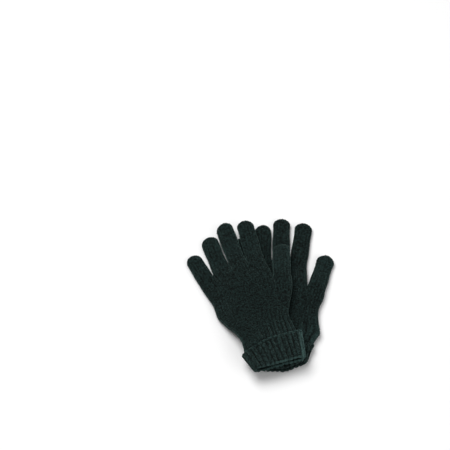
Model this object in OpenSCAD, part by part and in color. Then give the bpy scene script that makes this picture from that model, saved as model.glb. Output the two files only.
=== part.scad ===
// A pair of knitted chenille gloves with deep turned-up cuffs, lying one on the other.
// The left glove lies back up on the table along +Y, and the right glove lies palm up across it.
// Each glove has its own flat frame: u across, v from the wrist towards the fingers, z up.

/* [Palm] */
// Width of the wrist ribbing
wrist_w = 67; // [60:1:76]
// Thickness of the palm as it lies, both layers and the air between
palm_t = 13; // [11:0.5:18]
// Reach of the heel of the hand, from the middle line towards the little finger
heel_reach = 59; // [52:1:68]
// Length over which the heel swells out from the wrist
heel_rise = 61; // [50:1:72]
// Where the palm starts above the wrist line
palm_start = 1; // [0:0.5:4]
// How far the palm blouses out over the gathered wrist
blouse = 8; // [2:0.5:9]
// Wall of the knitted fabric
wall = 2.4; // [1.6:0.1:2.8]

/* [Fingers] */
// Thickness of a finger as it lies
finger_t = 9; // [7.5:0.5:12]
// Width of the little finger
little_w = 21.5; // [18:0.5:26]
// Width of the ring finger
ring_w = 22.5; // [18:0.5:27]
// Width of the middle finger
middle_w = 23.5; // [18:0.5:28]
// Width of the index finger
index_w = 23.5; // [18:0.5:28]
// Width of the thumb
thumb_w = 24; // [20:0.5:28]
// Length of the little finger
little_len = 48; // [36:1:60]
// Length of the ring finger
ring_len = 62; // [44:1:74]
// Length of the middle finger
middle_len = 71; // [50:1:84]
// Length of the index finger
index_len = 68; // [50:1:84]
// Length of the thumb
thumb_len = 57; // [44:1:72]
// Spread of the little finger away from the middle line, in degrees
little_lean = -10; // [-16:1:-6]
// Spread of the ring finger
ring_lean = -3; // [-5:1:-2]
// Spread of the middle finger
middle_lean = -1; // [-2:1:0]
// Spread of the index finger
index_lean = 4; // [2:1:10]
// Spread of the thumb
thumb_lean = 15; // [10:1:24]

/* [Knuckles and thumb root] */
// Height of the top of the arc of knuckles above the wrist line
knuckle_v = 126; // [116:1:138]
// Place of that top across the hand
knuckle_u = -5; // [-12:1:4]
// Radius of the arc of knuckles
knuckle_r = 115; // [95:5:180]
// Outer end of the knuckles on the little finger side
knuckle_end = -65; // [-72:1:-60]
// Place of the thumb root across the hand
thumb_u = 43.5; // [40:0.5:50]
// Height of the thumb root above the wrist line
thumb_v = 84; // [76:1:92]
// Height at which the thumb side starts to widen
gusset_start = 18; // [10:1:30]
// Bulge of the left glove's gathered heel, on the thumb side above the cuff
heel_puff = 18; // [4:1:20]

/* [Cuff] */
// Depth of the turned-up cuff
cuff_depth = 39; // [28:1:50]
// How much wider than the wrist ribbing the cuff is at its fold
fold_ease = 7; // [6:0.5:14]
// How much wider than the wrist ribbing the cuff is at its upper edge
cuff_flare = 21; // [14:1:26]
// How much higher the left cuff is folded at its thumb end
fold_skew = 16; // [0:1:17]
// How much lower the right cuff's upper edge lies at its little finger end
edge_dip = 11; // [0:1:14]
// Height of the cuff's upper edge above the wrist line
cuff_top = -5; // [-9:0.5:-4]
// Wall of the ribbed cuff, from the crest of a rib inwards
cuff_wall = 2.6; // [2:0.1:3.4]
// Height of the cuff's ribs
rib_h = 0.8; // [0.3:0.1:1.2]
// Ribs around the cuff
ribs = 26; // [16:2:32]
// Height of the bound-off edge of the cuff
edge_h = 2; // [1.2:0.2:3]
// Height of the space for the hand inside the wrist ribbing
hand_space = 5.2; // [4.8:0.2:8]

/* [Thread and elastic] */
// Thickness of the elastic threads round the wrist
elastic_t = 0.9; // [0.5:0.1:1.4]
// Number of elastic threads round the wrist
elastics = 2; // [1:1:3]
// Thickness of the stitches at the crotches of the fingers
stitch_t = 1.1; // [0.7:0.1:1.3]
// Length of the stitches at the crotches
stitch_len = 4; // [2.5:0.5:6]
// Height of the gathered stitch that closes a fingertip
tip_stitch_h = 1.5; // [0.8:0.1:2.5]

/* [Lie of the pair] */
// Turn of the right glove against the left one, in degrees
upper_turn = 20; // [14:1:24]
// Shift of the right glove's wrist across the left one
upper_x = -16; // [-22:1:-8]
// Shift of the right glove's wrist along the left one
upper_y = -3; // [-6:1:4]
// Width over which the right glove drops from the left glove to the table
drop_w = 40; // [30:1:46]

/* [Clearances] */
// Room between pieces that move against each other
clear = 0.4; // [0.3:0.05:0.6]
// Room between the two gloves
stack_gap = 0.5; // [0.4:0.1:1]
// Seam between pieces that are knitted together
seam = 0.1; // [0.05:0.05:0.2]

/* [Hidden] */
// Layers
LEFT = 0;
RIGHT = 1;
// Knitted colours
CHENILLE = "#1b2423";
RIBBING = "#1e2826";
THREAD = "#2a3533";
ELASTIC = "#3b3f3d";

// Wrist and cuff, worked out from the space for the hand outwards
wrist_hw = wrist_w / 2;
rib_t = hand_space + 2 * wall;
cuff_t = rib_t + 2 * (clear + cuff_wall);
wrist_raise = cuff_wall + clear;
cuff_fold = cuff_top - cuff_depth;
fold_w = wrist_w + fold_ease;
cuff_w = wrist_w + cuff_flare;
lip = cuff_wall;
rib_end = cuff_fold + lip + 2 * clear;

// Sections: how square the edges are, and how flat the underside is
palm_square = 4;
finger_square = 2.5;
flat_share = 1.15;
crotch_share = 0.66;
inner_gap = 0.6;
edge_wall = 1.6 * wall;
palm_rise = 30;
blouse_rise = 5;
heel_fall = 45;
waist_fall = 16;
puff_rise = 14;
puff_fall = 45;
dip_fall = 50;
heel_drop = 6;
row_crowd = 1.6;

// Counts for the palm's grid: wales across the palm and the thumb, and rows below and above the fork
lobe_cols = 4;
palm_cols = 4 * lobe_cols;
thumb_cols = 5;
cols = palm_cols + thumb_cols;
fork_row = 6;
top_rows = 3;
rows = fork_row + top_rows;
ring_n = 20;
stitch_n = 8;

// Fingers in the order little, ring, middle, index, thumb
LITTLE = 0;
INDEX = 3;
THUMB = 4;
finger_gap = 1;
finger_w = [little_w, ring_w, middle_w, index_w, thumb_w];
finger_len = [little_len, ring_len, middle_len, index_len, thumb_len];
finger_lean = [little_lean, ring_lean, middle_lean, index_lean, thumb_lean];

// The drape of the right glove: its height over the left glove's cuff and palm, and over its fingers
lift_high = max(cuff_t, palm_t + wrist_raise) + stack_gap;
lift_low = finger_t + stack_gap;
low_from = 112;
low_to = 150;
drop_line = -32;
drop_slope = 0.18;

// The part's origin lies under the left palm, this far from the wrist line
rest_v = 60;

function mix(a, b, t) = a + (b - a) * t;
function clamp01(t) = min(1, max(0, t));
function smooth(t) = let (c = clamp01(t)) c * c * (3 - 2 * c);
function signed_power(x, p) = sign(x) * pow(abs(x), p);
function sum_to(list, k) = k <= 0 ? 0 : list[k - 1] + sum_to(list, k - 1);

// Height of the right glove over the table at a place in its own frame
function drop_at(v) = drop_line + drop_slope * max(0, v - palm_start);
function lift(u, v) = mix(lift_high, lift_low, smooth((v - low_from) / (low_to - low_from)))
    * smooth(1 + (u - drop_at(v)) / drop_w);

// Height of a point of the left wrist, whose cuff is folded up further towards the thumb side
function skewed(p) = p.y + fold_skew * smooth(2 * p.x / cuff_w) * max(0, cuff_top - p.y) / cuff_depth;

// Height of a point of the right wrist, where the cuff's edge and the palm over it dip at the little finger end
function dipped(p) = p.y - edge_dip * smooth(-2 * p.x / cuff_w)
    * min((p.y - cuff_fold) / cuff_depth, 1 - smooth((p.y - cuff_top) / dip_fall));

// A point of a glove's own frame, laid in its place in the pair
function lay(glove, p) =
    let (v = glove == LEFT ? skewed(p) : dipped(p))
    glove == LEFT
    ? [p.x, v - rest_v, p.z]
    : [upper_x + p.x * cos(upper_turn) - v * sin(upper_turn),
       upper_y - rest_v + p.x * sin(upper_turn) + v * cos(upper_turn),
       p.z + lift(p.x, v)];

// Two triangles for a quad whose corners run round it
function quad(a, b, c, d) = [[a, b, c], [a, c, d]];
function join_lists(lists) = [for (list = lists) each list];

// A skin through rings of equal length: round like a tyre, or with both ends closed flat
module loft(rings, tyre) {
    n = len(rings[0]);
    m = len(rings);
    walls = [for (i = [0 : tyre ? m - 1 : m - 2], j = [0 : n - 1])
        each quad(i * n + j, i * n + (j + 1) % n, ((i + 1) % m) * n + (j + 1) % n, ((i + 1) % m) * n + j)];
    first = [for (j = [1 : n - 2]) [0, j + 1, j]];
    last = [for (j = [1 : n - 2]) [(m - 1) * n, (m - 1) * n + j, (m - 1) * n + j + 1]];
    polyhedron(points = join_lists(rings), faces = tyre ? walls : concat(walls, first, last), convexity = 8);
}

// Flat sections

// Share of the full thickness at x from -1 to 1 across a flat form with rounded edges
function bow(x, square) = pow(max(0, 1 - pow(abs(x), square)), 1 / square);
function top_z(t, b) = t / 2 * (1 + b);
function under_z(t, b) = t / 2 * (1 - min(1, flat_share * b));

// Stadium of a given width and thickness, walked by its own length, as [x, z, normal x, normal z]
function stadium(walk, w, t) =
    let (r = t / 2, run = w - t, arc = 180 * r * PI / 180, whole = 2 * (run + arc), s = walk * whole)
    s < run ? [-run / 2 + s, r, 0, 1]
    : s < run + arc ? let (a = 90 - (s - run) / r * 180 / PI) [run / 2 + r * cos(a), r * sin(a), cos(a), sin(a)]
    : s < 2 * run + arc ? [run / 2 - (s - run - arc), -r, 0, -1]
    : let (a = 270 - (s - 2 * run - arc) / r * 180 / PI)
        [-run / 2 + r * cos(a), r * sin(a), cos(a), sin(a)];

// One ring of the wrist or the cuff at height v, with ribs of depth d cut into a stadium
function band_ring(glove, v, w, t, n, count, d) =
    [for (j = [0 : n - 1])
        let (p = stadium(j / n, w, t), cut = d * (0.5 - 0.5 * cos(360 * count * j / n)))
        lay(glove, [p[0] - cut * p[2], v, cuff_t / 2 + p[1] - cut * p[3]])];

// Palm

function finger_left(k) = knuckle_end + sum_to(finger_w, k) + k * finger_gap;
function knuckle(u) = knuckle_v - pow(u - knuckle_u, 2) / (2 * knuckle_r);
thumb_across = [cos(thumb_lean), -sin(thumb_lean)];
thumb_root = [thumb_u, thumb_v];
fork = thumb_root - thumb_across * (thumb_w + finger_gap) / 2;
thumb_edge = thumb_root + thumb_across * (thumb_w + finger_gap) / 2;
heel_top = thumb_v - heel_drop;
fork_share = palm_cols / cols;

// Sides of the palm below the fork, and the wale that runs up to the fork
function swell(v, rise, fall) = smooth((v - palm_start) / rise) * (1 - smooth((v - palm_start - rise) / fall));
function heel_side(r) = let (v = mix(palm_start, heel_top, r))
    [-mix(wrist_hw, heel_reach, smooth((v - palm_start) / heel_rise)) - blouse * swell(v, blouse_rise, heel_fall), v];
function puff(glove, v) = glove == LEFT
    ? heel_puff * swell(v, puff_rise, puff_fall)
    : blouse * swell(v, blouse_rise, waist_fall);
function thumb_side(glove, r) = let (v = mix(palm_start, thumb_edge.y, r))
    [mix(wrist_hw, thumb_edge.x, smooth((v - gusset_start) / (thumb_edge.y - gusset_start))) + puff(glove, v), v];
function fork_wale(r) = let (v = mix(palm_start, fork.y, r))
    [mix(mix(-wrist_hw, wrist_hw, fork_share), fork.x, smooth(r)), v];

// Place of a wale c, from 0 to 1 across palm and thumb, at row r from 0 to 1 below the fork
function low_place(glove, r, c) = c <= fork_share
    ? mix(heel_side(r), fork_wale(r), c / fork_share)
    : mix(fork_wale(r), thumb_side(glove, r), (c - fork_share) / (1 - fork_share));

// The knuckle line at c from 0 to 1 across the four fingers
function knuckle_place(c) =
    let (k = min(INDEX, floor(c * 4)), x = c * 4 - k,
         a = finger_left(k) - (k > LITTLE ? finger_gap / 2 : 0),
         b = finger_left(k + 1) - (k < INDEX ? finger_gap / 2 : finger_gap),
         u = mix(a, b, x))
    [u, mix(knuckle(a), knuckle(b), x)];
function high_place(r, c) = mix(low_place(LEFT, 1, c * fork_share), knuckle_place(c), r);

// Fullness of the palm's section: one flat form, parted into lobes at the fork and at the knuckles
function lobe(c, count) = let (x = c * count - min(count - 1, floor(c * count)))
    max(c <= 0 || c >= 1 ? 0 : crotch_share, bow(2 * x - 1, finger_square));
function fork_lobes(c) = c < fork_share
    ? max(c <= 0 ? 0 : crotch_share, bow(2 * c / fork_share - 1, palm_square))
    : max(c >= 1 ? 0 : crotch_share, bow(2 * (c - fork_share) / (1 - fork_share) - 1, finger_square));
function low_full(r, c) = mix(bow(2 * c - 1, palm_square), fork_lobes(c), smooth((r - 0.5) / 0.5));
function high_full(r, c) = mix(bow(2 * c - 1, palm_square), lobe(c, 4), smooth(r));
function low_t(r) = mix(rib_t, palm_t, smooth(mix(palm_start, heel_top, r) / palm_rise - palm_start / palm_rise));
function low_z(r) = wrist_raise * (1 - smooth(mix(palm_start, heel_top, r) / palm_rise - palm_start / palm_rise));

// Share of the way up to the fork at row i: the rows lie closer together near the wrist
function low_row(i) = pow(i / fork_row, row_crowd);

// Point of the palm: side 1 is the upper face and -1 the lower, inner is the lining side of the wall
function palm_point(glove, i, j, side, inner) =
    let (low = i <= fork_row,
         r = low ? low_row(i) : (i - fork_row) / top_rows,
         c0 = low ? j / cols : j / palm_cols,
         width = low ? norm(thumb_side(glove, r) - heel_side(r)) : norm(high_place(r, 1) - high_place(r, 0)),
         e = inner ? edge_wall / width : 0,
         c = low
             ? (c0 <= fork_share ? mix(e, fork_share, c0 / fork_share)
                                 : mix(fork_share, 1 - e, (c0 - fork_share) / (1 - fork_share)))
             : mix(e, 1 - e, c0),
         drop = inner && i == fork_row && j == palm_cols ? edge_wall : 0,
         place = (low ? low_place(glove, r, c) : high_place(r, c)) - [0, drop],
         full = low ? low_full(r, c) : high_full(r, c),
         t = low ? low_t(r) : mix(palm_t, finger_t, smooth(r)),
         raise = low ? low_z(r) : 0,
         outer_z = side > 0 ? top_z(t, full) : under_z(t, full),
         z = !inner ? outer_z
             : side > 0 ? max(t / 2 + inner_gap / 2, outer_z - wall) : min(t / 2 - inner_gap / 2, outer_z + wall))
    lay(glove, [place.x, place.y, raise + z]);

// Number of a palm point in the list: four sheets, each row by row
function row_cols(i) = i <= fork_row ? cols : palm_cols;
function sheet_size() = (fork_row + 1) * (cols + 1) + top_rows * (palm_cols + 1);
function row_start(i) = i <= fork_row ? i * (cols + 1)
    : (fork_row + 1) * (cols + 1) + (i - fork_row - 1) * (palm_cols + 1);
function at(sheet, i, j) = sheet * sheet_size() + row_start(i) + j;

// Faces of a sleeve between its upper and lower sheets, from row a to row b and column p to column q
function sleeve(up, down, a, b, p, q) = [for (i = [a : b - 1]) each concat(
    [for (j = [p : q - 1]) each quad(at(up, i, j), at(up, i + 1, j), at(up, i + 1, j + 1), at(up, i, j + 1))],
    [for (j = [p : q - 1]) each quad(at(down, i, j), at(down, i, j + 1), at(down, i + 1, j + 1), at(down, i + 1, j))])];
function side_strip(up, down, a, b, j) = [for (i = [a : b - 1])
    each quad(at(up, i, j), at(down, i, j), at(down, i + 1, j), at(up, i + 1, j))];
function turned(faces) = [for (f = faces) [f[2], f[1], f[0]]];

// The open rim between the outer and the inner sheets along row i, from column p to column q
function rim(i, p, q) = concat(
    [for (j = [p : q - 1]) each quad(at(0, i, j), at(2, i, j), at(2, i, j + 1), at(0, i, j + 1))],
    [for (j = [p : q - 1]) each quad(at(1, i, j), at(1, i, j + 1), at(3, i, j + 1), at(3, i, j))],
    quad(at(0, i, p), at(1, i, p), at(3, i, p), at(2, i, p)),
    quad(at(0, i, q), at(2, i, q), at(3, i, q), at(1, i, q)));
function skin(up, down) = concat(
    sleeve(up, down, 0, fork_row, 0, cols),
    sleeve(up, down, fork_row, rows, 0, palm_cols),
    side_strip(up, down, 0, rows, 0),
    turned(side_strip(up, down, 0, fork_row, cols)),
    turned(side_strip(up, down, fork_row, rows, palm_cols)));

module palm(glove) {
    points = [for (sheet = [[1, false], [-1, false], [1, true], [-1, true]], i = [0 : rows], j = [0 : row_cols(i)])
        palm_point(glove, i, j, sheet[0], sheet[1])];
    faces = concat(
        skin(0, 1), turned(skin(2, 3)),
        turned(rim(0, 0, cols)),
        rim(rows, 0, palm_cols),
        rim(fork_row, palm_cols, cols));
    color(CHENILLE) polyhedron(points = points, faces = faces, convexity = 8);
}

// Fingers

function finger_across(k) = [cos(finger_lean[k]), -sin(finger_lean[k])];
function finger_along(k) = [sin(finger_lean[k]), cos(finger_lean[k])];
// Point of the seam between the palm and finger k that lies at u
function on_seam(k, u) =
    let (a = knuckle_place(k / 4), b = k == INDEX ? knuckle_place(1) : knuckle_place((k + 1) / 4))
    mix(a, b, (u - a.x) / (b.x - a.x));
function finger_ends(k) = k == THUMB
    ? [thumb_root - thumb_across * thumb_w / 2, thumb_root + thumb_across * thumb_w / 2]
    : [for (u = [finger_left(k), finger_left(k) + finger_w[k]]) on_seam(k, u)];
function finger_root(k) = (finger_ends(k)[0] + finger_ends(k)[1]) / 2;
// How far the seam at the finger's root runs forward from its middle to its inner end
function root_slant(k) = (finger_ends(k)[1] - finger_ends(k)[0]) * finger_along(k) / 2;
function root_half(k) = (finger_ends(k)[1] - finger_ends(k)[0]) * finger_across(k) / 2;

// One ring of a finger: q from 0 at its root to 1 at its tip, with the wall taken off for the lining side
function finger_ring(glove, k, q, half, t, n) = [for (j = [0 : n - 1])
    let (a = 360 * j / n,
         x = signed_power(cos(a), 2 / finger_square),
         h = max(-1, (sin(a) < 0 ? flat_share : 1) * signed_power(sin(a), 2 / finger_square)),
         s = mix(root_slant(k) * x * half / root_half(k) + clear, finger_len[k], q),
         place = finger_root(k) + finger_across(k) * half * x + finger_along(k) * s)
    lay(glove, [place.x, place.y, finger_t / 2 + t / 2 * h])];

tip_angles = [0, 35, 60, 78];
shaft_steps = [0, 0.5];
function finger_skin(glove, k, inset, steps) =
    let (half = root_half(k) - inset, round_l = 0.9 * half, straight = 1 - (round_l + inset) / finger_len[k])
    concat(
        [for (q = steps) finger_ring(glove, k, q * straight, half, finger_t - 2 * inset, ring_n)],
        [for (a = tip_angles) finger_ring(glove, k, straight + round_l / finger_len[k] * sin(a), half * cos(a),
            (finger_t - 2 * inset) * pow(cos(a), 0.6), ring_n)]);
function backwards(list) = [for (i = [len(list) - 1 : -1 : 0]) list[i]];

module finger(glove, k) {
    outside = finger_skin(glove, k, 0, shaft_steps);
    inside = finger_skin(glove, k, wall, shaft_steps);
    color(CHENILLE) loft(concat(backwards(inside), outside), false);
}

// The drawn-in stitch that closes a fingertip, on the flat end of the finger
module tip_stitch(glove, k) {
    last = tip_angles[len(tip_angles) - 1];
    half = root_half(k) * cos(last);
    t = finger_t * pow(cos(last), 0.6);
    tip_q = 1 - 0.9 * root_half(k) * (1 - sin(last)) / finger_len[k];
    rings = [for (step = [[0, 0.7], [0.5, 0.8], [0.85, 0.6], [1, 0.25]])
        finger_ring(glove, k, tip_q + (seam + tip_stitch_h * step[0]) / finger_len[k],
            half * step[1], t * step[1], stitch_n)];
    color(THREAD) loft(rings, false);
}

// Wrist and cuff

wrist_n = 2 * ribs;
cuff_n = 4 * ribs;

// The ribbing inside the cuff, from the fold up to the palm
module wrist_rib(glove) {
    inside_w = wrist_w - 2 * wall;
    rings = [
        band_ring(glove, rib_end, inside_w, hand_space, wrist_n, ribs, 0),
        band_ring(glove, palm_start - seam, inside_w, hand_space, wrist_n, ribs, 0),
        band_ring(glove, palm_start - seam, wrist_w, rib_t, wrist_n, ribs, rib_h / 2),
        band_ring(glove, rib_end, wrist_w, rib_t, wrist_n, ribs, rib_h / 2)];
    color(RIBBING) loft(rings, true);
}

// Width of the cuff at height v, which flares from its fold to its upper edge
function cuff_width(v) = mix(fold_w, cuff_w, (v - cuff_fold) / cuff_depth);
function cuff_ring(glove, v, inset, d, n) =
    band_ring(glove, v, cuff_width(v) - 2 * inset, cuff_t - 2 * inset, n, ribs, d);

// The turned-up cuff: a ribbed band, with the fold as a lip under the end of the wrist ribbing
module turned_cuff(glove) {
    top = cuff_top - edge_h - 2 * seam;
    fold_round = cuff_wall / 3;
    inside_w = wrist_w - 2 * wall;
    rings = [
        cuff_ring(glove, cuff_fold, fold_round, 0, cuff_n),
        cuff_ring(glove, cuff_fold + lip, 0, rib_h, cuff_n),
        cuff_ring(glove, top, 0, rib_h, cuff_n),
        cuff_ring(glove, top, cuff_wall, 0, cuff_n),
        cuff_ring(glove, cuff_fold + lip, cuff_wall, 0, cuff_n),
        band_ring(glove, cuff_fold + lip, inside_w, hand_space, cuff_n, ribs, 0),
        band_ring(glove, cuff_fold, inside_w, hand_space, cuff_n, ribs, 0)];
    color(RIBBING) loft(backwards(rings), true);
}

// The bound-off edge: a bead along the cuff's upper edge
module cuff_edge(glove) {
    low = cuff_top - edge_h;
    inset = cuff_wall / 4;
    rings = [
        cuff_ring(glove, low, 0, rib_h, wrist_n),
        cuff_ring(glove, mix(low, cuff_top, 0.7), 0, rib_h, wrist_n),
        cuff_ring(glove, cuff_top, inset, rib_h / 2, wrist_n),
        cuff_ring(glove, cuff_top, cuff_wall - inset, 0, wrist_n),
        cuff_ring(glove, low, cuff_wall, 0, wrist_n)];
    color(THREAD) loft(backwards(rings), true);
}

// Elastic threads that gather the wrist between the cuff and the palm
module wrist_elastic(glove) {
    room = palm_start - cuff_top;
    for (i = [1 : elastics]) {
        v = cuff_top + room * i / (elastics + 1);
        far = 2 * (seam + elastic_t);
        rings = [for (step = [[-0.5, 2 * seam], [0, far], [0.5, 2 * seam]])
            band_ring(glove, v + step[0] * elastic_t, wrist_w + step[1], rib_t + step[1], wrist_n, ribs, 0)];
        color(ELASTIC) loft(backwards(rings), true);
    }
}

// Closing stitches in the dips between the fingers and beside the thumb, from front to back along the dip
module crotch_stitch(glove, front, back, front_z, back_z) {
    along = (back - front) / norm(back - front);
    across = [along.y, -along.x];
    loft([for (s = [2 * clear, 2 * clear + stitch_len])
        [for (corner = [[-1, 0], [1, 0], [1, 1], [-1, 1]])
            let (p = front + along * s + across * corner[0] * stitch_t / 2,
                 z = mix(front_z, back_z, s / norm(back - front)))
            lay(glove, [p.x, p.y, z + clear + corner[1] * stitch_t])]], false);
}
module crotch_stitches(glove) {
    high_r = 1 - 1 / top_rows;
    low_r = low_row(fork_row - 1);
    high_back_t = mix(palm_t, finger_t, smooth(high_r));
    color(THREAD) {
        for (c = [1 / 4 : 1 / 4 : 3 / 4])
            crotch_stitch(glove, knuckle_place(c), high_place(high_r, c),
                top_z(finger_t, crotch_share), top_z(high_back_t, high_full(high_r, c)));
        crotch_stitch(glove, fork, fork_wale(low_r),
            top_z(palm_t, crotch_share), top_z(low_t(low_r), low_full(low_r, fork_share)));
    }
}

palm(LEFT);  // left_palm
finger(LEFT, 0);  // left_little_finger
finger(LEFT, 1);  // left_ring_finger
finger(LEFT, 2);  // left_middle_finger
finger(LEFT, 3);  // left_index_finger
finger(LEFT, 4);  // left_thumb
tip_stitch(LEFT, 0);  // left_little_tip_stitch
tip_stitch(LEFT, 1);  // left_ring_tip_stitch
tip_stitch(LEFT, 2);  // left_middle_tip_stitch
tip_stitch(LEFT, 3);  // left_index_tip_stitch
tip_stitch(LEFT, 4);  // left_thumb_tip_stitch
wrist_rib(LEFT);  // left_wrist_rib
turned_cuff(LEFT);  // left_turned_cuff
cuff_edge(LEFT);  // left_cuff_edge
wrist_elastic(LEFT);  // left_wrist_elastic
crotch_stitches(LEFT);  // left_crotch_stitches
palm(RIGHT);  // right_palm
finger(RIGHT, 0);  // right_little_finger
finger(RIGHT, 1);  // right_ring_finger
finger(RIGHT, 2);  // right_middle_finger
finger(RIGHT, 3);  // right_index_finger
finger(RIGHT, 4);  // right_thumb
tip_stitch(RIGHT, 0);  // right_little_tip_stitch
tip_stitch(RIGHT, 1);  // right_ring_tip_stitch
tip_stitch(RIGHT, 2);  // right_middle_tip_stitch
tip_stitch(RIGHT, 3);  // right_index_tip_stitch
tip_stitch(RIGHT, 4);  // right_thumb_tip_stitch
wrist_rib(RIGHT);  // right_wrist_rib
turned_cuff(RIGHT);  // right_turned_cuff
cuff_edge(RIGHT);  // right_cuff_edge
wrist_elastic(RIGHT);  // right_wrist_elastic
crotch_stitches(RIGHT);  // right_crotch_stitches
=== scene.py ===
"""A pair of knitted chenille gloves with turned-up ribbed cuffs, one lying on the other."""
from math import atan, cos, inf, pi, radians, sin

import bmesh
import bpy
import numpy as np
from mathutils import Matrix, Vector


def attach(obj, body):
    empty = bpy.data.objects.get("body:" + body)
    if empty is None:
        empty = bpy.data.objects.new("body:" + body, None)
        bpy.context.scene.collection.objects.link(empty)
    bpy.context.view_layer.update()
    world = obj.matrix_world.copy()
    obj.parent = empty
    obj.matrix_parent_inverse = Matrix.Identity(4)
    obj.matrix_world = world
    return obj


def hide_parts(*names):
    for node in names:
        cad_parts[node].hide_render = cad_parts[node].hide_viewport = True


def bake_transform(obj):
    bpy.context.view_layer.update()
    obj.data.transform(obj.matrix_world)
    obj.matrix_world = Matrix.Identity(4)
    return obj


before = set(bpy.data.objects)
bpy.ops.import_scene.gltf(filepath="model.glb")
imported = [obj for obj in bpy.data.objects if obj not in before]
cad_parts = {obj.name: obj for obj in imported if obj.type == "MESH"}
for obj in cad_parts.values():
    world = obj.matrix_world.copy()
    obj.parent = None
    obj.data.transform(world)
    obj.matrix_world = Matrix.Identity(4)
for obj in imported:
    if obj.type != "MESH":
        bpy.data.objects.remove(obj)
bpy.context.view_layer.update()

# Sizes in millimetres, in a glove's own frame: u across, v from the wrist to the fingertips, z up
MM = 0.001
TAU = 2 * pi
FACES = (1, -1)

# Wrist and palm, as the solids have them
WRIST_W, RIB_T, WALL = 67, 10, 2.4
PALM_START, PALM_T, PALM_RISE, WRIST_RAISE = 1, 13, 30, 3
HEEL_REACH, HEEL_RISE, HEEL_LOWER, GUSSET_START = 59, 61, 6, 18
# How far the palm blouses out above the wrist: at the heel, the waist and the under glove's full heel
BLOUSE, BLOUSE_RISE, HEEL_FALL = 8, 5, 45
WAIST_BLOUSE, WAIST_FALL = 2, 10
HEEL_PUFF, PUFF_RISE, PUFF_FALL = 18, 14, 48
# The upper glove's heel is tucked in, and less so further up
HEEL_TUCK, TUCK_RISE, TUCK_FROM, TUCK_FALL, TUCK_EASE = 5, 12, 22, 16, 0.6
# The palm's hem, which hangs to the cuff's edge: its share of the lower palm, its hang and its swell
HEM_SHARE, HEM_HANG, HEM_SWELL = 0.15, 10.5, 1.2
# Gathers above the wrist: their reach at the heel and at the thumb, wales in a fold, and its depth
GATHER_HEEL, GATHER_THUMB = 24, 50
NARROW_FOLD, NARROW_DEEP, WIDE_FOLD, WIDE_DEEP = 2.4, 0.8, 4.3, 0.35

# Fingers; the thumb is the last
FINGERS = ("little", "ring", "middle", "index", "thumb")
THUMB = 4
FINGER_W = (21.5, 22.5, 23.5, 23.5, 24)
FINGER_LEN = (48, 62, 71, 68, 57)
FINGER_LEAN = [radians(lean) for lean in (-10, -3, -1, 4, 15)]
FINGER_T, FINGER_GAP = 9, 1
KNUCKLE_U, KNUCKLE_V, KNUCKLE_R, KNUCKLE_END = -5, 126, 115, -65
THUMB_ROOT = np.array([43.5, 84])
# Lengths over which a finger rounds out of its seam and takes its tone, the reach of its unused bend
# places, and over which the thumb grows thinner
ROOT_RUN, TONE_RUN, BEND_RUN, THUMB_TAPER = 9, 14, 24, 45
TIP_ROUND, TIP_ANGLE, TIP_FOLDS = 0.9, radians(84), 5
# Squareness of the sections, where 2 is an ellipse, and how flat the lower face lies
PALM_SQUARE, FINGER_SQUARE, FLAT_SHARE = 4, 2.5, 1.15
# How uneven the loose cloth lies
PALM_SLACK, FINGER_SLACK, FINGER_SWAY = 0.55, 0.45, 1.2

# Cuff and wrist ribbing
RIBS, RIB_DEEP, RIB_END = 26, 1.5, -40.6
CUFF_T, CUFF_FOLD, CUFF_TOP, EDGE_H = 16, -44, -5, 2
FOLD_W, CUFF_W = 74, 88
ELASTICS, ELASTIC_T = 2, 0.9

# How the gloves lie: the under one's skewed fold, the upper one's dipped cuff edge, turn and place, its
# fall to the table on the left, and the height that the under one is pressed to
REST_V, FOLD_SKEW, EDGE_DIP, DIP_FALL = 60, 16, 11, 50
UPPER_TURN, UPPER_X, UPPER_Y = radians(20), -16, -3
DROP_W, DROP_LINE, DROP_SLOPE = 40, -32, 0.18
LIFT_HIGH, LIFT_LOW, LOW_FROM, LOW_TO, PRESSED = 16.5, 9.5, 112, 150, 16.3

# The knit: wales on each face of a finger, mesh columns in a wale, course height, mesh rows in a course
WALES, WALE_COLS, COURSE, COURSE_ROWS = 7, 6, 2.6, 4
LOBE_COLS, ALL_WALES = WALES * WALE_COLS, 5 * WALES
LOW_COURSES, HIGH_COURSES, LINING_ROWS = 30, 17, 10
STITCH_RELIEF, FUZZ, WELD = 1.1, 0.25, 1e-6
# A stitch: slant of its V, depth of its legs, depth and width of the crease between them
V_SLANT, LEG_DEEP, CREASE, CREASE_W = 0.55, 0.4, 0.22, 0.2
# Painted shade: how much darker the deep places are; how much lighter the edges are by painted sheen, and
# the fingers, thumbs and heel
DEEP_SHADE, PALM_SHADE = 0.55, 0.18
PAINTED_EDGE_SHEEN, FINGER_LIGHT, THUMB_LIGHT, HEEL_LIGHT = 0.7, 0.1, 0.3, 0.25
# Cut pile: share of the mesh faces that are drawn up and how far, how far tufts lean, and their tone,
# which the painted shade lights like a stitch's crest
PILE = ((0.09, 0.35), (0.05, 0.6))
TUFT_LEAN, TUFT_TONE = 0.25, 0.9
# Where the slow waves of each glove's cloth start
PALM_SEED = {"left": 0.7, "right": 3.1}
GATHER_SEED = {"left": 1.0, "right": 2.6}
FINGER_SEED = {"left": 0.4, "right": 5.2}
CUFF_SEED = {"left": 0.9, "right": 2.2}


def mix(a, b, t):
    """The share t of the way from a to b."""
    return a + (b - a) * t


def smooth(t):
    """A soft step from 0 to 1."""
    c = np.clip(t, 0, 1)
    return c * c * (3 - 2 * c)


def column(t):
    """Shares as a column, to mix places with."""
    return np.asarray(t, float)[..., None]


def bow(x, square):
    """Share of the full thickness at x from -1 to 1 across a flat form with rounded edges."""
    return np.maximum(0, 1 - np.abs(x) ** square) ** (1 / square)


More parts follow.
